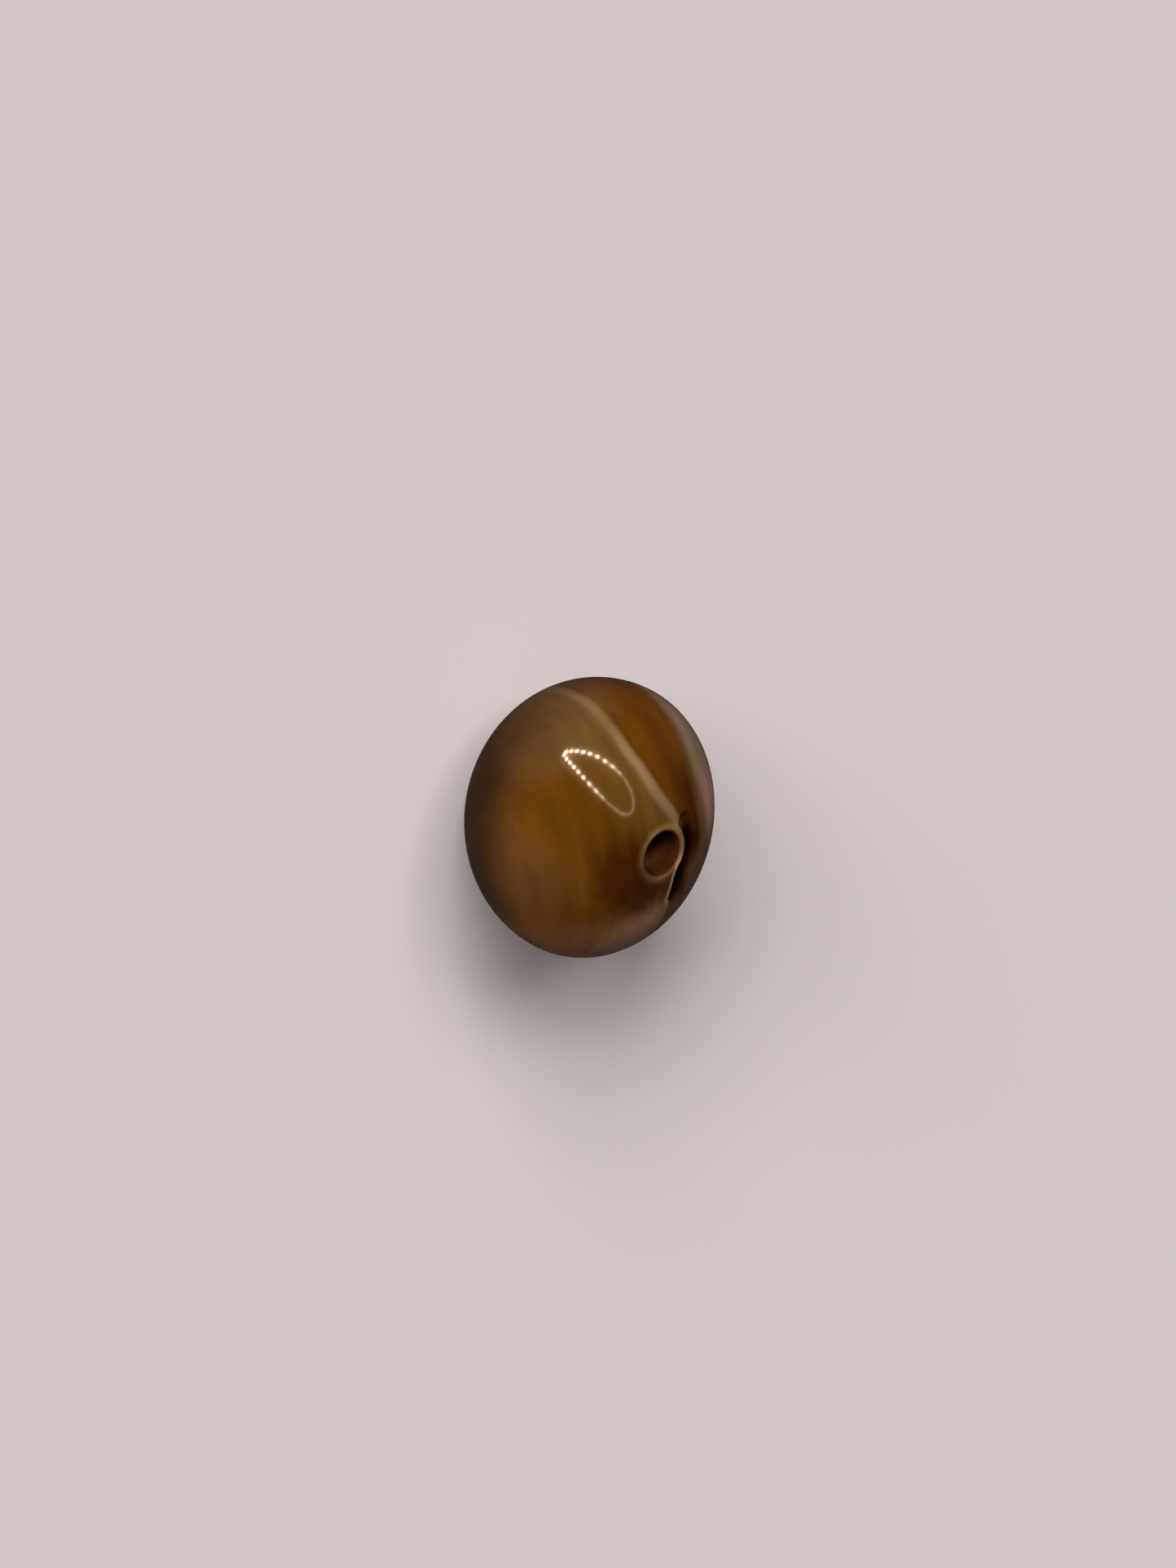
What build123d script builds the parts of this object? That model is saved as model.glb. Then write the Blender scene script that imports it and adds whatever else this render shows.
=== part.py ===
"""Wound glass bead: an oval body on a straight bore, with the lap crease beside its upper mouth.

Lengths are millimetres. The bore stands along +Z, the oval is wide along X, and the origin is the
middle of the flat foot round the lower mouth. Turns are degrees about the bore, from +X towards +Y.
"""

import os
from math import atan2, cos, sin, sqrt

from build123d import *

# Body, before the bore and the crease are cut
bead_width = 13.7
bead_depth = 12.65
base_height = 5.45
crown_height = 4.8
foot_diameter = 4.0

# Bore, left by the rod that the glass was wound on
bore_diameter = 2.0
mouth_rounding = 0.3

# Lap crease, where the last turn of glass never quite closed against the collar of the mouth
collar_width = 0.93
crease_radius = 0.45
crease_sink = 0.15
crease_level_reach = 3.5
crease_bend_radius = 0.8
crease_tail_length = 1.0
crease_edge_rounding = 0.12

# Turns of the crease, in degrees: its stretch round the collar and its bend
collar_start_turn = 42
collar_sweep = 78
crease_bend_sweep = 34

# How far a cut runs past the glass
cut_overrun = 1.0

half_width = bead_width / 2
foot_radius = foot_diameter / 2
bore_radius = bore_diameter / 2
collar_radius = bore_radius + collar_width
body_height = base_height + crown_height
depth_share = bead_depth / bead_width
underside_height = base_height / sqrt(1 - (foot_radius / half_width) ** 2)

# The crease's centre line lies in a plane that dips towards +X and is level with the crown again
# at crease_level_reach from the bore, so the groove rises out of the crown at both ends
crown_drop = crown_height * (1 - sqrt(1 - (crease_level_reach / half_width) ** 2))
crease_dip = atan2(crown_drop - crease_sink, crease_level_reach)
dip_cosine = cos(crease_dip)
dip_sine = sin(crease_dip)
crease_plane = Plane(
    origin=(0, 0, body_height - crease_sink),
    x_dir=(dip_cosine, 0, -dip_sine),
    z_dir=(dip_sine, 0, dip_cosine),
)

# Groove of the crease: round the collar of the mouth, through a bend, and straight out over the crown
with BuildPart() as crease_groove:
    with BuildLine(crease_plane) as crease_path:
        collar_arc = CenterArc((0, 0), collar_radius, collar_start_turn, collar_sweep)
        bend_arc = JernArc(collar_arc @ 0, -(collar_arc % 0), crease_bend_radius, crease_bend_sweep)
        PolarLine(bend_arc @ 1, crease_tail_length, direction=bend_arc % 1)
    centre_line = crease_path.wire()
    with BuildSketch(Plane(origin=centre_line @ 0, z_dir=centre_line % 0)):
        Circle(crease_radius)
    sweep(path=centre_line)
    with Locations(centre_line @ 0, centre_line @ 1):
        Sphere(crease_radius)

with BuildPart() as bead:
    # The body is turned round the bore from half of its section
    with BuildSketch(Plane.YZ):
        with BuildLine():
            widest_centre = (0, base_height)
            crown_arc = EllipticalCenterArc(widest_centre, half_width, crown_height, 90, arc_size=90)
            underside_arc = EllipticalCenterArc(widest_centre, half_width, underside_height, 180, arc_size=90)
            Line(underside_arc @ 1, crown_arc @ 0)
        make_face()
    revolve(axis=Axis.Z)

    # A light press made the round body oval, and its lower end is flat
    scale(by=(1, depth_share, 1))
    split(bisect_by=Plane.XY, keep=Keep.TOP)

    # Straight bore, with mouths that the flame rounded
    with Locations((0, 0, -cut_overrun)):
        Cylinder(
            bore_radius,
            body_height + 2 * cut_overrun,
            align=(Align.CENTER, Align.CENTER, Align.MIN),
            mode=Mode.SUBTRACT,
        )
    bore_wall = bead.faces().filter_by(GeomType.CYLINDER)[0]
    fillet(bore_wall.edges().filter_by(GeomType.LINE, reverse=True), mouth_rounding)

    # The crease, with edges that the flame rounded too
    add(crease_groove.part, mode=Mode.SUBTRACT)
    fillet(bead.edges(Select.LAST).filter_by(GeomType.BSPLINE), crease_edge_rounding)

bead.part.label = "bead"

os.makedirs("parts", exist_ok=True)
export_step(bead.part, "parts/bead.step")
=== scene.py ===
# %% [markdown]
# A glass bead, dressed for its picture
#
# The real object is one wound glass bead, about 13.7 mm wide, with a bore through it. The packed
# solid could be shown as it is, but its facets would show in the gloss. So this lesson takes the
# solid as its frame, remakes the bead as a finer mesh of the same form, and gives it the banded
# amber glass. Blender works in metres, so each size is written in millimetres and multiplied by mm.

# %% Load the frame
from math import acos, atan, atan2, cos, degrees, pi, radians, sin, sqrt

import bmesh
import bpy
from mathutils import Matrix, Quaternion, Vector


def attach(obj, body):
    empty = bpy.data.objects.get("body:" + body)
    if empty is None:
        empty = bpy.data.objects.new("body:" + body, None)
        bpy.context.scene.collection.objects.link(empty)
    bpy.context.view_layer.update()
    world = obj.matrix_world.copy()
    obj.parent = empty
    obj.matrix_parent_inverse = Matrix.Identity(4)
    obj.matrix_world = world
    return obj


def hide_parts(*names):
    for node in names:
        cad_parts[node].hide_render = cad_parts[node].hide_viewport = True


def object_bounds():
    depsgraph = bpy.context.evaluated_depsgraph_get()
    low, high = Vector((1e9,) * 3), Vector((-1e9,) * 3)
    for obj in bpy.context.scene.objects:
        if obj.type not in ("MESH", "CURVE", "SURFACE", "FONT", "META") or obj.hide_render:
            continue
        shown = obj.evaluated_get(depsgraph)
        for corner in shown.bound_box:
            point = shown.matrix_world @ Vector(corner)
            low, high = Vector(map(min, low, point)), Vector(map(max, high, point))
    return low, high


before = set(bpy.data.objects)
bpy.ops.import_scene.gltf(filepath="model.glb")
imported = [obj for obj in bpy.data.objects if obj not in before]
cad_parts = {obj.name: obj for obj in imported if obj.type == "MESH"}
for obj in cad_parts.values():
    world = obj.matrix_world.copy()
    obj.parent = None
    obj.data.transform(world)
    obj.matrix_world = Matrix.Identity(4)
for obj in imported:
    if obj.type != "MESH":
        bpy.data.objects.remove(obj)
solid_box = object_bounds()

mm = 0.001
scene = bpy.context.scene
scene.view_settings.view_transform = "Standard"
print("solid box, mm:", [[round(v / mm, 3) for v in corner] for corner in solid_box])

# %% [markdown]
# The camera
#
# The bead is seen from above one side, and the picture is turned about the line of sight, so the
# bore points to the lower right. A camera could be placed by hand, but three angles say it better:
# azimuth and elevation put it on a sphere round the bead, and the roll turns the picture. The
# camera is then slid in its own plane, so that the bead sits a little below the middle of the frame.

# %% Work out the picture's directions
view_azimuth = radians(-45.2)
view_elevation = radians(41.3)
view_roll = radians(116.6)
to_camera = Vector((
    sin(view_azimuth) * cos(view_elevation),
    -cos(view_azimuth) * cos(view_elevation),
    sin(view_elevation),
))
camera_turn = Quaternion(to_camera, view_roll) @ to_camera.to_track_quat("Z", "Y")
picture_right = camera_turn @ Vector((1, 0, 0))
picture_up = camera_turn @ Vector((0, 1, 0))
print("picture right", [round(v, 3) for v in picture_right], "up", [round(v, 3) for v in picture_up])

# %% Place the camera
widest_level = 5.45 * mm
bead_middle = Vector((0, 0, widest_level))
picture_height = 73.41 * mm
lens_length = 85
sensor_length = 36
slide_left = 0.278 * mm
slide_up = 1.634 * mm

camera_data = bpy.data.cameras.new("bench camera")
camera_data.lens = lens_length
camera_data.sensor_width = sensor_length
camera_data.clip_start = 1 * mm
camera_data.clip_end = 10
camera = bpy.data.objects.new("bench camera", camera_data)
scene.collection.objects.link(camera)
scene.camera = camera
camera.rotation_mode = "QUATERNION"
camera.rotation_quaternion = camera_turn
camera_distance = picture_height * lens_length / sensor_length
picture_middle = bead_middle - slide_left * picture_right + slide_up * picture_up
camera.location = picture_middle + camera_distance * to_camera
print("camera stands", round(camera_distance / mm, 1), "mm from the bead")

# %% [markdown]
# Two small helpers
#
# Node trees are long, so one helper adds a node, sets it and links it in a single call. Inputs are
# named, or numbered where a node has several of one name. A node given as an input stands for its
# first open output. The other helper turns a colour written as sRGB hex into the linear values that
# Blender's sockets hold.

# %% Helpers for nodes and colours
def add_node(tree, kind, inputs=None, **settings):
    """Adds one node, sets its properties, and fills or links its inputs."""
    node = tree.nodes.new(kind)
    for name, value in settings.items():
        setattr(node, name, value)
    sockets = [socket for socket in node.inputs if socket.enabled]
    for name, value in (inputs or {}).items():
        named = [socket for socket in sockets if socket.name == name]
        socket = named[0] if named else sockets[name]
        if isinstance(value, bpy.types.Node):
            value = next(output for output in value.outputs if output.enabled)
        if isinstance(value, bpy.types.NodeSocket):
            tree.links.new(value, socket)
        else:
            socket.default_value = value
    return node


def linear(hex_colour):
    """Linear red, green, blue and alpha of an sRGB colour such as #5a3503."""
    shares = [int(hex_colour[i:i + 2], 16) / 255 for i in (1, 3, 5)]
    return [c / 12.92 if c <= 0.04045 else ((c + 0.055) / 1.055) ** 2.4 for c in shares] + [1.0]


print("amber in linear values:", [round(v, 4) for v in linear("#5a3503")])

# %% [markdown]
# Half of the bead's section
#
# Glass wound on a rod is a body of revolution: turn half of its section round the bore and the bead
# is there. The section could be drawn by hand as a Bezier curve, but its parts are plain arcs, so
# it is worked out: up the bore wall, over the rounded mouth, down the crown and the underside, and
# in along the flat foot. Points crowd near the upper mouth, where the crease needs a fine mesh.

# %% Work out where the rounded mouths begin
half_width = min(solid_box[1].x, -solid_box[0].x)
half_depth = min(solid_box[1].y, -solid_box[0].y)
crown_rise = 4.8 * mm
foot_radius = 2.0 * mm
bore_radius = 1.0 * mm
mouth_rounding = 0.3 * mm
mouth_radius = bore_radius + mouth_rounding
underside_drop = widest_level / sqrt(1 - (foot_radius / half_width) ** 2)

# The rounding of the upper mouth meets the crown where both have the same slope
crown_share = mouth_radius / half_width
crown_slope = crown_rise / half_width * crown_share / sqrt(1 - crown_share ** 2)
lean = 1 / sqrt(1 + crown_slope ** 2)
meeting_radius = mouth_radius + mouth_rounding * crown_slope * lean
meeting_rise = crown_rise * sqrt(1 - (meeting_radius / half_width) ** 2)
upper_mouth = (mouth_radius, widest_level + meeting_rise - mouth_rounding * lean)
lower_mouth = (mouth_radius, mouth_rounding)
print("upper mouth rounding starts at height", round(upper_mouth[1] / mm, 3), "mm")

# %% Helper for the arcs of the section
def arc_points(centre, radii, start, end, count):
    """Points of an elliptical arc from start to end, in degrees from the radial direction."""
    turns = [radians(start + (end - start) * step / count) for step in range(count)]
    return [(centre[0] + radii[0] * cos(turn), centre[1] + radii[1] * sin(turn)) for turn in turns]


# Within this distance from the bore the mesh is fine enough for the crease
fine_reach = 4.7 * mm
meeting_turn = degrees(acos(meeting_radius / half_width))
fine_turn = degrees(acos(fine_reach / half_width))
foot_turn = degrees(acos(foot_radius / half_width))
print("fine mesh on the crown from", round(meeting_turn, 1), "to", round(fine_turn, 1), "degrees")

# %% Join the arcs into one closed section
wall_steps = 12
mouth_steps = 9
fine_steps = 72
crown_steps = 34
underside_steps = 48
foot_steps = 4
lower_mouth_steps = 8

widest_centre = (0, widest_level)
mouth_radii = (mouth_rounding, mouth_rounding)
crown_radii = (half_width, crown_rise)
underside_radii = (half_width, underside_drop)
wall_height = upper_mouth[1] - lower_mouth[1]
foot_width = foot_radius - mouth_radius
section = [(bore_radius, lower_mouth[1] + wall_height * step / wall_steps) for step in range(wall_steps)]
section += arc_points(upper_mouth, mouth_radii, 180, 90 - degrees(atan(crown_slope)), mouth_steps)
section += arc_points(widest_centre, crown_radii, meeting_turn, fine_turn, fine_steps)
section += arc_points(widest_centre, crown_radii, fine_turn, 0, crown_steps)
section += arc_points(widest_centre, underside_radii, 0, -foot_turn, underside_steps)
section += [(foot_radius - foot_width * step / foot_steps, 0) for step in range(foot_steps)]
section += arc_points(lower_mouth, mouth_radii, 270, 180, lower_mouth_steps)

section_mesh = bpy.data.meshes.new("bead section")
corner_pairs = [(step, (step + 1) % len(section)) for step in range(len(section))]
section_mesh.from_pydata([(r, z, 0) for r, z in section], corner_pairs, [])
bead = bpy.data.objects.new("wound_bead", section_mesh)
scene.collection.objects.link(bead)
print("section points:", len(section))

# %% [markdown]
# The line of the lap crease
#
# The last turn of hot glass was laid round the mouth and never quite closed against its collar,
# which left a curved crease. Its line could be drawn by eye, but then it would not follow the
# collar. So it is worked out: an arc round the collar, a bend the other way and a straight tail,
# all in one plane that dips towards +X and comes level with the crown again 3.5 mm from the bore.
# The three touch without a corner, so each one starts where the last one ends, in its direction.

# %% Work out the crease line
collar_radius = 1.93 * mm
collar_start = radians(42)
collar_sweep = radians(78)
bend_radius = 0.8 * mm
bend_sweep = radians(34)
tail_length = 1.0 * mm
crease_sink = 0.15 * mm
level_reach = 3.5 * mm
crown_drop = crown_rise * (1 - sqrt(1 - (level_reach / half_width) ** 2))
crease_dip = atan2(crown_drop - crease_sink, level_reach)

bend_start = collar_start + pi
bend_end = bend_start + bend_sweep
collar_out = Vector((cos(collar_start), sin(collar_start), 0))
bend_centre = (collar_radius + bend_radius) * collar_out
tail_start = bend_centre + bend_radius * Vector((cos(bend_end), sin(bend_end), 0))
tail_end = tail_start + tail_length * Vector((-sin(bend_end), cos(bend_end), 0))
crease_origin = Vector((0, 0, widest_level + crown_rise - crease_sink))
print("tail of the crease, mm:", [round(v / mm, 2) for v in tail_start], [round(v / mm, 2) for v in tail_end])

# %% [markdown]
# The bead as a Geometry Nodes tree
#
# The rule of the form goes into a node tree with its sizes as named inputs: sweep the section round
# a circle, press the round body oval, then sink the crease. Boolean cutting would leave ragged
# triangles and sharp edges along the crease. Moving the fine mesh inwards, by a rule on each
# point's distance from the crease line, gives lips as smooth as fire-polished glass.

# %% Start the tree with its named inputs
tree = bpy.data.node_groups.new("wound bead", "GeometryNodeTree")
tree.interface.new_socket("Section", in_out="INPUT", socket_type="NodeSocketGeometry")
tree.interface.new_socket("Bead", in_out="OUTPUT", socket_type="NodeSocketGeometry")
bead_sizes = {
    "Bore Radius": bore_radius,
    "Mouth Radius": mouth_radius,
    "Foot Radius": foot_radius,
    "Press": half_depth / half_width,
    "Collar Radius": collar_radius,
    "Bend Radius": bend_radius,
    "Crease Radius": 0.45 * mm,
    "Lip Rounding": 0.12 * mm,
}
size_sockets = {
    name: tree.interface.new_socket(name, in_out="INPUT", socket_type="NodeSocketFloat")
    for name in bead_sizes
}
sizes = add_node(tree, "NodeGroupInput").outputs
print("tree inputs:", [socket.name for socket in sizes if socket.name])

# %% Sweep the section round the bore
round_steps = 400
circle = add_node(
    tree, "GeometryNodeCurvePrimitiveCircle", {"Resolution": round_steps, "Radius": sizes["Bore Radius"]}
)
circle = add_node(tree, "GeometryNodeSetCurveNormal", {"Curve": circle}, mode="Z_UP")
# The circle runs along the bore wall, so the section moves in by the bore's radius first, and half
# a turn about X sets it upright in the sweep
outline = add_node(tree, "GeometryNodeMeshToCurve", {"Mesh": sizes["Section"]})
wall_shift = add_node(tree, "ShaderNodeMath", {0: sizes["Bore Radius"], 1: -1.0}, operation="MULTIPLY")
wall_offset = add_node(tree, "ShaderNodeCombineXYZ", {"X": wall_shift})
outline = add_node(
    tree, "GeometryNodeTransform", {"Geometry": outline, "Translation": wall_offset, "Rotation": (pi, 0, 0)}
)
swept = add_node(tree, "GeometryNodeCurveToMesh", {"Curve": circle, "Profile Curve": outline})
print("nodes so far:", len(tree.nodes))

# %% Press the round body oval
# The mouths stay round, and the press is complete from the foot's radius outwards
point = add_node(tree, "GeometryNodeInputPosition")
flat_point = add_node(tree, "ShaderNodeVectorMath", {0: point, 1: (1, 1, 0)}, operation="MULTIPLY")
radius = add_node(tree, "ShaderNodeVectorMath", {0: flat_point}, operation="LENGTH")
press = add_node(
    tree,
    "ShaderNodeMapRange",
    {
        "Value": radius,
        "From Min": sizes["Mouth Radius"],
        "From Max": sizes["Foot Radius"],
        "To Min": 1.0,
        "To Max": sizes["Press"],
    },
    interpolation_type="SMOOTHSTEP",
)
press_axes = add_node(tree, "ShaderNodeCombineXYZ", {"X": 1.0, "Y": press, "Z": 1.0})
pressed_point = add_node(tree, "ShaderNodeVectorMath", {0: point, 1: press_axes}, operation="MULTIPLY")
pressed = add_node(tree, "GeometryNodeSetPosition", {"Geometry": swept, "Position": pressed_point})
print("nodes so far:", len(tree.nodes))

# %% Draw the crease line inside the tree
collar_points = 64
bend_points = 24
collar_line, bend_line = [
    add_node(
        tree,
        "GeometryNodeCurveArc",
        {"Resolution": points, "Radius": sizes[size], "Start Angle": start, "Sweep Angle": sweep},
    )
    for points, size, start, sweep in (
        (collar_points, "Collar Radius", collar_start, collar_sweep),
        (bend_points, "Bend Radius", bend_start, bend_sweep),
    )
]
bend_line = add_node(tree, "GeometryNodeTransform", {"Geometry": bend_line, "Translation": bend_centre})
tail_line = add_node(tree, "GeometryNodeCurvePrimitiveLine", {"Start": tail_start, "End": tail_end})
crease_lines = add_node(tree, "GeometryNodeJoinGeometry")
for line in (collar_line, bend_line, tail_line):
    tree.links.new(line.outputs[0], crease_lines.inputs[0])
crease_lines = add_node(
    tree,
    "GeometryNodeTransform",
    {"Geometry": crease_lines, "Translation": crease_origin, "Rotation": (0, crease_dip, 0)},
)
crease_edges = add_node(tree, "GeometryNodeCurveToMesh", {"Curve": crease_lines})
nearest = add_node(tree, "GeometryNodeProximity", {0: crease_edges}, target_element="EDGES")
print("nodes so far:", len(tree.nodes))

# %% Measure each point against the crease line
# A point lies so far above its nearest place on the line, along the normal, and so far beside it
normal = add_node(tree, "GeometryNodeInputNormal")
away = add_node(
    tree, "ShaderNodeVectorMath", {0: point, 1: nearest.outputs["Position"]}, operation="SUBTRACT"
)
above = add_node(tree, "ShaderNodeVectorMath", {0: away, 1: normal}, operation="DOT_PRODUCT")
above_offset = add_node(tree, "ShaderNodeVectorMath", {0: normal, "Scale": above}, operation="SCALE")
beside_offset = add_node(tree, "ShaderNodeVectorMath", {0: away, 1: above_offset}, operation="SUBTRACT")
beside = add_node(tree, "ShaderNodeVectorMath", {0: beside_offset}, operation="LENGTH")
print("nodes so far:", len(tree.nodes))

# %% Work out how deep and how wide the groove is there
# A groove of round section reaches its radius below the line
depth = add_node(tree, "ShaderNodeMath", {0: above, 1: sizes["Crease Radius"]}, operation="ADD")
depth = add_node(tree, "ShaderNodeMath", {0: depth, 1: 0.0}, operation="MAXIMUM")
# Where the line comes out of the glass, less of the round section is left, so the groove narrows
missing = add_node(tree, "ShaderNodeMath", {0: above, 1: 0.0}, operation="MINIMUM")
missing = add_node(tree, "ShaderNodeMath", {0: missing, 1: missing}, operation="MULTIPLY")
reach = add_node(tree, "ShaderNodeMath", {0: sizes["Crease Radius"], 1: 2.0}, operation="POWER")
reach = add_node(tree, "ShaderNodeMath", {0: reach, 1: missing}, operation="SUBTRACT")
reach = add_node(tree, "ShaderNodeMath", {0: reach, 1: 0.0}, operation="MAXIMUM")
half_gap = add_node(tree, "ShaderNodeMath", {0: reach}, operation="SQRT")
print("nodes so far:", len(tree.nodes))

# %% Sink the crease
# The bottom is level over three eighths of the groove, and a smooth step rounds its lips
level_share = 0.375
floor_edge = add_node(tree, "ShaderNodeMath", {0: half_gap, 1: level_share}, operation="MULTIPLY")
lip_edge = add_node(tree, "ShaderNodeMath", {0: half_gap, 1: sizes["Lip Rounding"]}, operation="ADD")
crease_share = add_node(
    tree,
    "ShaderNodeMapRange",
    {"Value": beside, "From Min": floor_edge, "From Max": lip_edge, "To Min": 1.0, "To Max": 0.0},
    interpolation_type="SMOOTHSTEP",
)
# The bore wall and the foot lie far from the line, on its other side, and stay as they are
opened = add_node(tree, "ShaderNodeMath", {0: above, 1: sizes["Crease Radius"]}, operation="LESS_THAN")
crease_share = add_node(tree, "ShaderNodeMath", {0: crease_share, 1: opened}, operation="MULTIPLY")
sunk = add_node(tree, "ShaderNodeMath", {0: depth, 1: crease_share}, operation="MULTIPLY")
inwards = add_node(tree, "ShaderNodeMath", {0: sunk, 1: -1.0}, operation="MULTIPLY")
sink_offset = add_node(tree, "ShaderNodeVectorMath", {0: normal, "Scale": inwards}, operation="SCALE")
print("nodes so far:", len(tree.nodes))

# %% Keep two measures for the colours, and finish the tree
# Banded amber glass, fire polished: it gives the eye soft deep bands under a smooth wet gloss
glass = bpy.data.materials.new("banded amber glass, fire polished")
dressed = pressed
for mark, measure in (("crease_depth", sunk), ("crease_distance", nearest.outputs["Distance"])):
    in_mm = add_node(tree, "ShaderNodeMath", {0: measure, 1: mm}, operation="DIVIDE")
    dressed = add_node(
        tree,
        "GeometryNodeStoreNamedAttribute",
        {"Geometry": dressed, "Name": mark, "Value": in_mm},
        data_type="FLOAT",
        domain="POINT",
    )
creased = add_node(tree, "GeometryNodeSetPosition", {"Geometry": dressed, "Offset": sink_offset})
smooth = add_node(tree, "GeometryNodeSetShadeSmooth", {0: creased})
realized = add_node(tree, "GeometryNodeRealizeInstances", {"Geometry": smooth})
finished = add_node(tree, "GeometryNodeSetMaterial", {"Geometry": realized, "Material": glass})
add_node(tree, "NodeGroupOutput", {"Bead": finished})
print("nodes in the tree:", len(tree.nodes))

# %% [markdown]
# From tree to mesh
#
# A finished bead is one closed skin of glass. The modifier could stay live until the render, but
# the steps after this one need the skin itself, not the flat section it grows from. So the tree is
# run once and its result is kept as a plain mesh. Doubled points are merged, all faces are turned
# outwards, and the volume and the count of open edges are printed.

# %% Run the tree
winding = bead.modifiers.new("winding", "NODES")
winding.node_group = tree
for name, size in bead_sizes.items():
    winding[size_sockets[name].identifier] = size
depsgraph = bpy.context.evaluated_depsgraph_get()
bead_mesh = bpy.data.meshes.new_from_object(
    bead.evaluated_get(depsgraph), preserve_all_data_layers=True, depsgraph=depsgraph
)
bead_mesh.name = "wound bead"
bead.modifiers.remove(winding)
bead.data = bead_mesh
print("points:", len(bead_mesh.vertices))

# %% Close the skin and check it
merge_distance = 0.0001 * mm
skin = bmesh.new()
skin.from_mesh(bead_mesh)
bmesh.ops.remove_doubles(skin, verts=skin.verts, dist=merge_distance)
bmesh.ops.recalc_face_normals(skin, faces=skin.faces)
open_edges = [edge for edge in skin.edges if not edge.is_manifold]
print("volume, cubic mm:", round(skin.calc_volume(signed=True) / mm ** 3, 1), "open edges:", len(open_edges))
skin.to_mesh(bead_mesh)
skin.free()
print("triangles:", sum(len(face.vertices) - 2 for face in bead_mesh.polygons))

# %% [markdown]
# The glass: where the layers run
#
# The bead is opaque amber glass with layers of paler and redder glass folded into it, all lying
# roughly in one direction. A stack of flat colour bands would look painted on, so the layers get a
# line that they follow: straight along the bead, with a swerve round the mouth, where the rod
# pushed them aside. Everything is measured from that line in millimetres of the bead's own space,
# so the bands go through the glass and come out right on every side.

# %% Measure the glass in millimetres
glass.use_nodes = True
shades = glass.node_tree
shades.nodes.clear()
coordinates = add_node(shades, "ShaderNodeTexCoord")
place = add_node(
    shades, "ShaderNodeVectorMath", {0: coordinates.outputs["Object"], "Scale": 1 / mm}, operation="SCALE"
)
# Slow stirring of the melt, in swirls about 4 mm across that move the layers by up to 0.4 mm
swirl_size = 4.0
swirl_reach = 0.4
stirring = add_node(
    shades, "ShaderNodeTexNoise", {"Vector": place, "Scale": 1 / swirl_size, "Detail": 2.0, "Roughness": 0.5}
)
stir_shift = add_node(
    shades,
    "ShaderNodeVectorMath",
    {0: stirring.outputs["Color"], 1: [2 * swirl_reach] * 3, 2: [-swirl_reach] * 3},
    operation="MULTIPLY_ADD",
)
stirred = add_node(shades, "ShaderNodeVectorMath", {0: place, 1: stir_shift}, operation="ADD")
glass_x, glass_y, glass_z = add_node(shades, "ShaderNodeSeparateXYZ", {0: stirred}).outputs
print("shader nodes so far:", len(shades.nodes))

# %% Work out the line that the layers follow
swerve_width = 2.8
swerve_height = 1.6
line_place = -0.17
swerve = add_node(shades, "ShaderNodeMath", {0: glass_x, 1: swerve_width}, operation="DIVIDE")
swerve = add_node(shades, "ShaderNodeMath", {0: swerve, 1: swerve}, operation="MULTIPLY")
swerve = add_node(shades, "ShaderNodeMath", {0: swerve, 1: -1.0}, operation="MULTIPLY")
swerve = add_node(shades, "ShaderNodeMath", {0: swerve}, operation="EXPONENT")
layer_line = add_node(
    shades, "ShaderNodeMath", {0: swerve, 1: swerve_height, 2: line_place}, operation="MULTIPLY_ADD"
)
from_line = add_node(shades, "ShaderNodeMath", {0: glass_y, 1: layer_line}, operation="SUBTRACT")
# On the far side the layers crowd together between that line and a straight red layer
red_layer_place = 2.5
layer_room = add_node(shades, "ShaderNodeMath", {0: red_layer_place, 1: layer_line}, operation="SUBTRACT")
crowded = add_node(shades, "ShaderNodeMath", {0: from_line, 1: layer_room}, operation="DIVIDE")
print("shader nodes so far:", len(shades.nodes))

# %% [markdown]
# Two sides of layers
#
# On one side of the line lies amber glass that hardly changes, and on the other side thin orange,
# red and grey layers crowd together. Bands could be cut with hard edges, but molten layers run into
# each other. A colour ramp on each side, read along the distance from the line, keeps them soft.

# %% Colour both sides by ramps
# One ramp spans 7 mm of amber, and the other spans twice the room between the line and the red layer
amber_reach = 7.0
folded_reach = 2.0
amber_scale = add_node(
    shades, "ShaderNodeMapRange", {"Value": from_line, "From Min": -amber_reach, "From Max": 0.0}
)
folded_scale = add_node(
    shades, "ShaderNodeMapRange", {"Value": crowded, "From Min": 0.0, "From Max": folded_reach}
)
amber_side = add_node(shades, "ShaderNodeValToRGB", {"Fac": amber_scale})
folded_side = add_node(shades, "ShaderNodeValToRGB", {"Fac": folded_scale})
amber_stops = {
    0.0: "#5d3c1a",
    0.12: "#603b12",
    0.22: "#603b07",
    0.32: "#573505",
    0.45: "#573302",
    0.64: "#583504",
    0.83: "#604114",
    1.0: "#64461e",
}
folded_stops = {
    0.0: "#5f3804",
    0.22: "#583002",
    0.4: "#4d2201",
    0.5: "#421901",
    0.58: "#503014",
    0.72: "#66492c",
}
for ramp, stops in ((amber_side, amber_stops), (folded_side, folded_stops)):
    bands = ramp.color_ramp.elements
    while len(bands) < len(stops):
        bands.new(1.0)
    for band, (position, hex_colour) in zip(bands, stops.items()):
        band.position = position
        band.color = linear(hex_colour)
print("bands:", len(amber_stops), "and", len(folded_stops))
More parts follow.
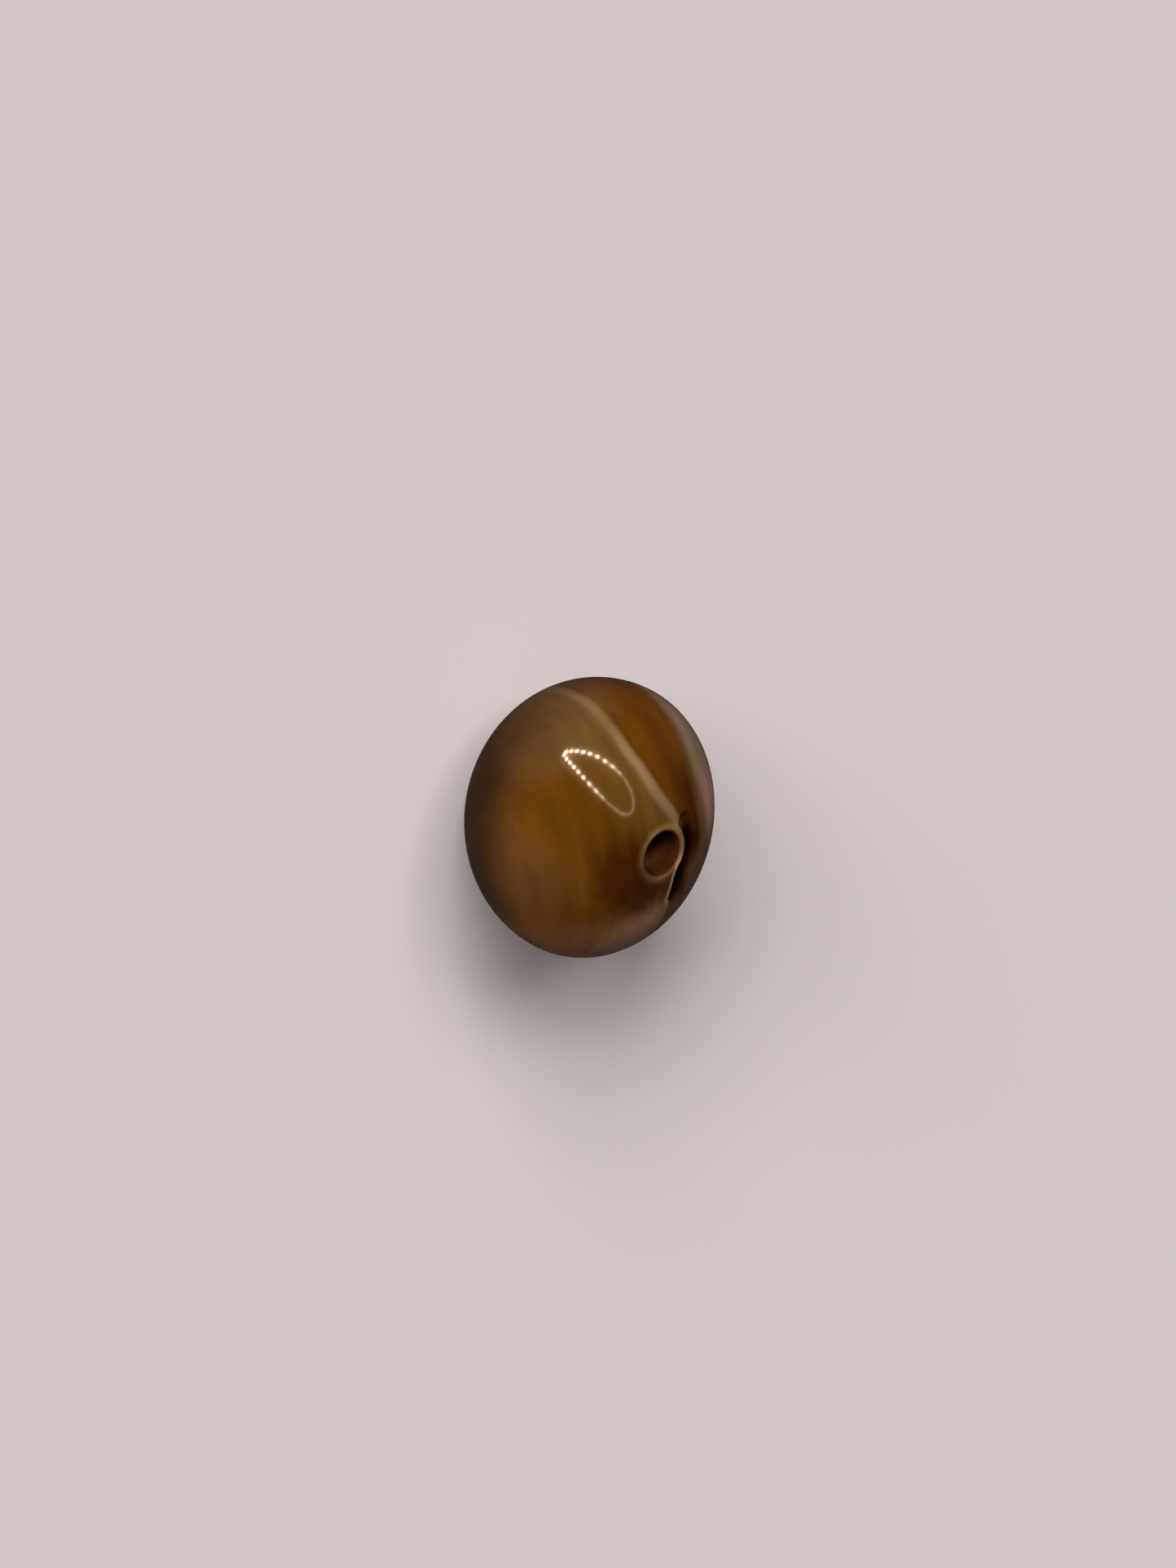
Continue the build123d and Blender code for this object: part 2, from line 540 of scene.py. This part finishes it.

# %% [markdown]
# Laying one colour over another
#
# Real layers thin out over each other, along the bead as well as across it. More ramps could blend
# along one direction each, but most changes here depend on two or three directions at once. So a
# colour is laid over what is below by a share: smooth steps along different measures, multiplied.
# A step is written as measure, start, end, low and high, with its start and end in millimetres.

# %% Lay tan glass and a painted floor reflection over the amber
def share_of(*steps):
    """Product of smooth steps, each going from low to high while its measure goes from start to end."""
    share = 1.0
    for measure, start, end, low, high in steps:
        step = add_node(
            shades,
            "ShaderNodeMapRange",
            {"Value": measure, "From Min": start, "From Max": end, "To Min": low, "To Max": high},
            interpolation_type="SMOOTHSTEP",
        )
        share = add_node(shades, "ShaderNodeMath", {0: share, 1: step}, operation="MULTIPLY")
    return share


def lay_over(below, above, *steps):
    """Lays one colour over another, glass or painted light and shade, as far as the steps' share lets it
    show.
    """
    layer = {"Factor": share_of(*steps), "A": below, "B": above}
    return add_node(shades, "ShaderNodeMix", layer, data_type="RGBA")


# The amber turns tan towards +X, and at the end, on the side of the mouth, a painted reflection of
# the pale floor pales it to a pinkish beige
amber = lay_over(amber_side, linear("#845a34"), (glass_x, 1.5, 4.5, 0.0, 1.0))
amber = lay_over(
    amber,
    linear("#b78769"),
    (glass_x, 2.4, 4.0, 0.0, 0.8),
    (from_line, -4.0, -1.0, 0.0, 1.0),
)
print("shader nodes so far:", len(shades.nodes))

# %% Finish the folded side and join both
# The red layer thins out towards -X
folded = lay_over(folded_side, linear("#5c3404"), (glass_x, -2.2, -4.2, 0.0, 0.85))
# Beyond it lies grey glass, which turns pinkish beside the mouth, high on the crown
grey = lay_over(
    linear("#7f6953"),
    linear("#ad7f6e"),
    (glass_x, -2.8, -0.4, 0.0, 1.0),
    (glass_z, 7.2, 9.2, 0.0, 1.0),
)
folded = lay_over(folded, grey, (glass_y, 2.9, 4.0, 0.0, 1.0))
# Towards +X all of the folded side turns a dull brown
folded = lay_over(folded, linear("#714b29"), (glass_x, 0.2, 2.0, 0.0, 1.0))
colour = lay_over(amber, folded, (from_line, 0.15, 0.4, 0.0, 1.0))
print("shader nodes so far:", len(shades.nodes))

# %% [markdown]
# The pale streak
#
# A thread of pale beige glass lies along the line of the layers. It could be one more band of a
# ramp, but it changes along its run as well: it is strongest in the middle, fades at its end and
# thins out where it passes the mouth. It was folded in from one side, so that side melts softly
# into the amber, and the other ends more sharply where the folded layers begin.

# %% Lay the pale streak
colour = lay_over(
    colour,
    linear("#8b6f4c"),
    (from_line, -0.45, -0.05, 0.0, 1.0),
    (from_line, 0.08, 0.42, 1.0, 0.0),
    (glass_x, -3.0, 0.6, 0.9, 0.15),
    (glass_x, -6.3, -5.3, 0.45, 1.0),
)
print("shader nodes so far:", len(shades.nodes))

# %% [markdown]
# Glass round the mouth
#
# Beside the mouth lies a cloud of dark red-brown glass. Round the mouth itself the rod left a
# narrow pale rim that was never polished, and the bore wall carries the dull brown skin of the
# release that keeps glass from sticking to the rod, with painted light making it paler deep down.
# They could be painted on a UV map, but each is really a matter of distance: from the cloud's
# middle, and from the bore's axis.

# %% Add the dark cloud beside the mouth
cloud_middle = (0.5, -1.4, 9.6)
cloud_turn = radians(-43)
cloud_reach = (2.9, 2.1, 1.8)
from_cloud = add_node(shades, "ShaderNodeVectorMath", {0: stirred, 1: cloud_middle}, operation="SUBTRACT")
from_cloud = add_node(
    shades, "ShaderNodeVectorRotate", {"Vector": from_cloud, "Angle": cloud_turn}, rotation_type="Z_AXIS"
)
from_cloud = add_node(shades, "ShaderNodeVectorMath", {0: from_cloud, 1: cloud_reach}, operation="DIVIDE")
from_cloud = add_node(shades, "ShaderNodeVectorMath", {0: from_cloud}, operation="LENGTH")
# Wisps about 0.7 mm across fray the cloud's edge
wisp_size = 0.7
wisp_share = 0.7
wisps = add_node(
    shades, "ShaderNodeTexNoise", {"Vector": place, "Scale": 1 / wisp_size, "Detail": 3.0, "Roughness": 0.6}
)
frayed = add_node(
    shades,
    "ShaderNodeMath",
    {0: wisps.outputs["Fac"], 1: wisp_share, 2: from_cloud},
    operation="MULTIPLY_ADD",
)
colour = lay_over(colour, linear("#421e02"), (frayed, 0.85, 1.5, 1.0, 0.0))
print("shader nodes so far:", len(shades.nodes))

# %% Add the pale rim
across = add_node(shades, "ShaderNodeVectorMath", {0: place, 1: (1, 1, 0)}, operation="MULTIPLY")
from_axis = add_node(shades, "ShaderNodeVectorMath", {0: across}, operation="LENGTH")
# The rim fades towards -Y
place_axes = add_node(shades, "ShaderNodeSeparateXYZ", {0: place})
rim_fade = add_node(
    shades,
    "ShaderNodeMapRange",
    {"Value": place_axes.outputs["Y"], "From Min": -1.2, "From Max": -0.2, "To Min": 0.6},
)
rim_share = share_of((from_axis, 1.15, 1.7, 0.65, 0.0))
rim_share = add_node(shades, "ShaderNodeMath", {0: rim_share, 1: rim_fade}, operation="MULTIPLY")
# It is paler towards -X
rim_side = add_node(shades, "ShaderNodeVectorMath", {0: place, 1: (1, 0.3, 0)}, operation="DOT_PRODUCT")
rim_turn = add_node(shades, "ShaderNodeMapRange", {"Value": rim_side, "From Min": -1.1, "From Max": -0.2})
rim_colours = {"Factor": rim_turn, "A": linear("#ab8850"), "B": linear("#77583a")}
rim_colour = add_node(shades, "ShaderNodeMix", rim_colours, data_type="RGBA")
rim_layer = {"Factor": rim_share, "A": colour, "B": rim_colour}
colour = add_node(shades, "ShaderNodeMix", rim_layer, data_type="RGBA")
print("shader nodes so far:", len(shades.nodes))

# %% Add the dull bore wall, with painted light deep down
# Painted light makes the wall paler a millimetre and more below the mouth, standing in for light
# that reaches down the bore
wall_skin_and_painted_light = lay_over(linear("#371b0b"), linear("#6d4225"), (glass_z, 9.7, 8.6, 0.0, 1.0))
colour = lay_over(colour, wall_skin_and_painted_light, (from_axis, 1.08, 1.22, 1.0, 0.0))
print("shader nodes so far:", len(shades.nodes))

# %% [markdown]
# The crease
#
# Painted shade makes the crease almost black and darkens its outer bank, and a painted highlight
# runs along its inner lip as a thin pale line. The crease could be found a second time from
# coordinates, but the tree has stored how deep each point was sunk and how far it lies from the
# line, so the colours read those two attributes and sit exactly on the form.

# %% Paint shade into the crease and onto its outer bank
crease_depth = add_node(shades, "ShaderNodeAttribute", attribute_name="crease_depth").outputs["Fac"]
crease_gap = add_node(shades, "ShaderNodeAttribute", attribute_name="crease_distance").outputs["Fac"]
# The bank's painted shade fades out within a millimetre of the line, and towards -X
colour = lay_over(
    colour,
    linear("#241003"),
    (crease_gap, 0.45, 0.88, 0.9, 0.0),
    (from_line, -0.3, 0.3, 0.0, 1.0),
    (glass_x, -0.7, 0.4, 0.0, 1.0),
)
# Painted shade makes the crease almost black, setting in gradually from its end towards -X
crease_painted_shade = share_of((crease_depth, 0.02, 0.32, 0.0, 1.0), (glass_x, -1.1, -0.2, 0.15, 1.0))
crease_shade_layer = {"Factor": crease_painted_shade, "A": colour, "B": linear("#180401")}
colour = add_node(shades, "ShaderNodeMix", crease_shade_layer, data_type="RGBA")
print("shader nodes so far:", len(shades.nodes))

# %% Paint a highlight along the inner lip
# The painted highlight is about 0.35 mm wide, and gets stronger towards +X
colour = lay_over(
    colour,
    linear("#c4a077"),
    (crease_gap, 0.35, 0.5, 0.0, 0.9),
    (crease_gap, 0.64, 0.84, 1.0, 0.0),
    (from_line, -0.3, 0.3, 1.0, 0.0),
    (glass_x, 0.3, 1.1, 0.15, 1.0),
)
print("shader nodes so far:", len(shades.nodes))

# %% [markdown]
# Haze, painted shade and drawn threads
#
# The end towards -X is a little hazy, and painted shade darkens it and the glass towards the
# foot. Drawn glass also carries fine threads, lighter and darker, all running the way it was
# pulled. They could be modelled one by one, but noise that is squeezed across that direction and
# stretched along it gives hundreds of them at once.

# %% Add the haze and painted shade towards the foot
haze_way = (-0.95, -0.3, 0)
haze_side = add_node(shades, "ShaderNodeVectorMath", {0: stirred, 1: haze_way}, operation="DOT_PRODUCT")
colour = lay_over(colour, linear("#75634a"), (haze_side, 5.4, 6.5, 0.0, 0.18))
# Painted shade darkens the glass towards the foot, less so towards -X
colour = lay_over(
    colour,
    linear("#2a1b12"),
    (glass_z, 7.3, 4.0, 0.0, 0.86),
    (glass_x, -4.5, -6.3, 1.0, 0.55),
)
print("shader nodes so far:", len(shades.nodes))

# %% Draw the threads
# Threads about 8 mm long, 0.6 mm wide and 2 mm deep
thread_size = (8.0, 0.6, 2.0)
thread_space = add_node(shades, "ShaderNodeVectorMath", {0: stirred, 1: thread_size}, operation="DIVIDE")
threads = add_node(
    shades, "ShaderNodeTexNoise", {"Vector": thread_space, "Scale": 1.0, "Detail": 4.0, "Roughness": 0.6}
)
thread_shade = add_node(
    shades,
    "ShaderNodeMapRange",
    {"Value": threads.outputs["Fac"], "From Min": 0.3, "From Max": 0.7, "To Min": 0.8, "To Max": 1.15},
)
# Painted shade makes the glass an eighth darker at the end towards -X
end_painted_shade = share_of((glass_x, -4.8, -6.3, 1.0, 0.87))
thread_shade = add_node(shades, "ShaderNodeMath", {0: thread_shade, 1: end_painted_shade}, operation="MULTIPLY")
shaded = add_node(shades, "ShaderNodeVectorMath", {0: colour, "Scale": thread_shade}, operation="SCALE")
print("shader nodes so far:", len(shades.nodes))

# %% [markdown]
# The finish of the glass
#
# The flame melted the skin of the bead smooth, so it shines like water, and its slight unevenness
# bends what it mirrors. The bore wall and the crease were out of the flame's reach and stayed dull.
# One roughness for all would make the bore glitter, so roughness and shine follow the distances
# from the bore and from the crease, as the colours do.

# %% Work out roughness and shine
roughness = add_node(
    shades,
    "ShaderNodeMapRange",
    {"Value": from_axis, "From Min": 1.05, "From Max": 1.5, "To Min": 0.9, "To Max": 0.09},
)
crease_roughness = 0.6
roughness = add_node(
    shades,
    "ShaderNodeMath",
    {0: crease_painted_shade, 1: crease_roughness, 2: roughness},
    operation="MULTIPLY_ADD",
    use_clamp=True,
)
shine = add_node(
    shades,
    "ShaderNodeMapRange",
    {"Value": from_axis, "From Min": 1.05, "From Max": 1.5, "To Min": 0.0, "To Max": 0.35},
)
polished = add_node(shades, "ShaderNodeMapRange", {"Value": crease_gap, "From Min": 0.5, "From Max": 0.8})
shine = add_node(shades, "ShaderNodeMath", {0: shine, 1: polished}, operation="MULTIPLY")
print("shader nodes so far:", len(shades.nodes))

# %% Finish the glass
# Hand-wound glass is never quite even: rises about 2 mm across and a few hundredths high
rise_size = 2.0
rise_height = 0.03 * mm
rises = add_node(shades, "ShaderNodeTexNoise", {"Vector": place, "Scale": 1 / rise_size, "Detail": 1.0})
uneven = add_node(
    shades, "ShaderNodeBump", {"Height": rises.outputs["Fac"], "Strength": 0.3, "Distance": rise_height}
)
glass_ior = 1.5
glass_finish = {
    "Base Color": shaded,
    "Roughness": roughness,
    "IOR": glass_ior,
    "Specular IOR Level": shine,
    "Normal": uneven,
}
glass_shader = add_node(shades, "ShaderNodeBsdfPrincipled", glass_finish)
add_node(shades, "ShaderNodeOutputMaterial", {"Surface": glass_shader})
print("shader nodes:", len(shades.nodes))

# %% [markdown]
# The floor
#
# The bead stands on a plain pale ground that has no edge in view. A curved backdrop would do the
# same, but nothing of it would be seen from up here, so one large flat square is enough. The glass
# doesn't mirror it, because its pale reflection would wash out the dark lower half of the bead.

# %% Lay the floor
floor_reach = 3.0
floor_corners = [(floor_reach * x, floor_reach * y, 0) for x, y in ((-1, -1), (1, -1), (1, 1), (-1, 1))]
floor_mesh = bpy.data.meshes.new("pale floor")
floor_mesh.from_pydata(floor_corners, [], [(0, 1, 2, 3)])
floor = bpy.data.objects.new("pale_floor", floor_mesh)
scene.collection.objects.link(floor)
# Pale matte board: it gives the eye an even ground and soft shadows, with no gloss of its own
floor_paint = bpy.data.materials.new("pale matte board")
floor_paint.use_nodes = True
floor_shades = floor_paint.node_tree
floor_shades.nodes.clear()
board_finish = {"Base Color": linear("#f8ebeb"), "Roughness": 0.9, "Specular IOR Level": 0.1}
board = add_node(floor_shades, "ShaderNodeBsdfPrincipled", board_finish)
add_node(floor_shades, "ShaderNodeOutputMaterial", {"Surface": board})
floor_mesh.materials.append(floor_paint)
floor.visible_glossy = False
print("floor reaches", floor_reach, "m each way")

# %% [markdown]
# Lamps and surround
#
# The light is soft and comes from the picture's upper side. One lamp could do it, but its shadow
# would fall to one side only. Three wide lamps, each weaker, spread the shadow round the bead, and a
# dim grey surround fills it in. Sun lamps are used because they light the whole floor evenly.

# %% Hang the three soft lamps
lamp_spread = radians(26)
# Energy, and how far the lamp stands to the picture's right, up and towards the camera
lamp_places = {
    "top lamp": (2.1, 0.03, 0.46, 0.885),
    "left lamp": (1.65, -0.3, 0.22, 0.93),
    "right lamp": (0.75, 0.5, 0.36, 0.79),
}
for name, (energy, rightwards, upwards, outwards) in lamp_places.items():
    lamp_data = bpy.data.lights.new(name, "SUN")
    lamp_data.energy = energy
    lamp_data.angle = lamp_spread
    lamp = bpy.data.objects.new(name, lamp_data)
    scene.collection.objects.link(lamp)
    to_lamp = (rightwards * picture_right + upwards * picture_up + outwards * to_camera).normalized()
    lamp.rotation_mode = "QUATERNION"
    lamp.rotation_quaternion = to_lamp.to_track_quat("Z", "Y")
    lamp.visible_glossy = False
    print(name, "stands towards", [round(v, 2) for v in to_lamp])

# %% Set the surround
surround = bpy.data.worlds.new("grey surround")
scene.world = surround
surround.use_nodes = True
surround_shades = surround.node_tree
surround_shades.nodes.clear()
sky = add_node(surround_shades, "ShaderNodeBackground", {"Color": linear("#383434"), "Strength": 1.0})
add_node(surround_shades, "ShaderNodeOutputWorld", {"Surface": sky})
print("surround nodes:", len(surround_shades.nodes))

# %% [markdown]
# The ring that the glass mirrors
#
# Polished glass mirrors its lamp, and here that mirror image is a thin oval loop of small lights. A
# painted loop would stay on the glass when the view changes, and a soft lamp can't draw one. So a
# glowing ring stands where the loop's reflections point. Only reflections see it, and it lights
# nothing else.

# %% Place the ring
# Its directions are given along the picture's right, its up and the way to the camera
ring_distance = 150 * mm
to_ring = (0.518 * picture_right + 0.197 * picture_up + 0.832 * to_camera).normalized()
long_way = (0.7136 * picture_right - 0.635 * picture_up - 0.2939 * to_camera).normalized()
short_way = to_ring.cross(long_way)
# Small slides, in mm, bring the mirror image to its place on the crown
ring_slides = ((-28, long_way), (-4, short_way), (13, picture_right), (-5, picture_up))
ring_middle = bead_middle + ring_distance * to_ring
for slide, way in ring_slides:
    ring_middle += slide * mm * way
print("ring stands towards", [round(v, 2) for v in to_ring])

# %% Bend the ring
ring_reach = 132 * mm
ring_half_width = 28 * mm
ring_taper = 8 * mm
ring_thickness = 2.4 * mm
ring_steps = 120
ring_curve = bpy.data.curves.new("glowing ring", "CURVE")
ring_curve.dimensions = "3D"
ring_curve.bevel_depth = ring_thickness
ring_line = ring_curve.splines.new("POLY")
ring_line.points.add(ring_steps - 1)
ring_line.use_cyclic_u = True
for step, ring_point in enumerate(ring_line.points):
    turn = 2 * pi * step / ring_steps
    ring_width = ring_half_width + ring_taper * cos(turn)
    ring_place = ring_middle + ring_reach * cos(turn) * long_way + ring_width * sin(turn) * short_way
    ring_point.co = (*ring_place, 1)
ring = bpy.data.objects.new("glowing_ring", ring_curve)
scene.collection.objects.link(ring)
ring.visible_camera = False
ring.visible_diffuse = False
ring.visible_shadow = False
print("ring points:", len(ring_line.points))

# %% Measure along the ring
# Bare light, with no surface of its own: it gives the eye nothing but its mirror image on the glass
ring_glow = bpy.data.materials.new("ring glow")
ring_glow.use_nodes = True
ring_shades = ring_glow.node_tree
ring_shades.nodes.clear()
ring_places = add_node(ring_shades, "ShaderNodeTexCoord").outputs["Object"]
along = add_node(ring_shades, "ShaderNodeVectorMath", {0: ring_places, 1: ring_middle}, operation="SUBTRACT")
along = add_node(ring_shades, "ShaderNodeVectorMath", {0: along, 1: long_way}, operation="DOT_PRODUCT")
print("ring nodes so far:", len(ring_shades.nodes))

# %% Light the ring, bright and dotted at its far end
near_strength = 7.0
far_strength = 240.0
strength = add_node(
    ring_shades,
    "ShaderNodeMapRange",
    {
        "Value": along,
        "From Min": 0.45 * ring_reach,
        "From Max": -0.9 * ring_reach,
        "To Min": near_strength,
        "To Max": far_strength,
    },
)
# Small bright lamps along the ring, 22 mm apart, that run together at its near end
lamp_spacing = 22 * mm
dots = add_node(ring_shades, "ShaderNodeMath", {0: along, 1: 2 * pi / lamp_spacing}, operation="MULTIPLY")
dots = add_node(ring_shades, "ShaderNodeMath", {0: dots}, operation="SINE")
dot_floor = add_node(
    ring_shades,
    "ShaderNodeMapRange",
    {"Value": along, "From Min": 0.6 * ring_reach, "From Max": 0.0, "To Min": 0.9, "To Max": 0.08},
)
dot_share = add_node(
    ring_shades,
    "ShaderNodeMapRange",
    {"Value": dots, "From Min": 0.0, "From Max": 1.0, "To Min": dot_floor, "To Max": 1.3},
)
strength = add_node(ring_shades, "ShaderNodeMath", {0: strength, 1: dot_share}, operation="MULTIPLY")
glow = add_node(ring_shades, "ShaderNodeEmission", {"Color": linear("#ffe2bd"), "Strength": strength})
add_node(ring_shades, "ShaderNodeOutputMaterial", {"Surface": glow})
ring_curve.materials.append(ring_glow)
print("ring nodes:", len(ring_shades.nodes))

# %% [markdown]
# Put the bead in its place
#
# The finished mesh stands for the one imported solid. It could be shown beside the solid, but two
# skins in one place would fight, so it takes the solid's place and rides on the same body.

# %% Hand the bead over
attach(bead, "root")
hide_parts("bead")
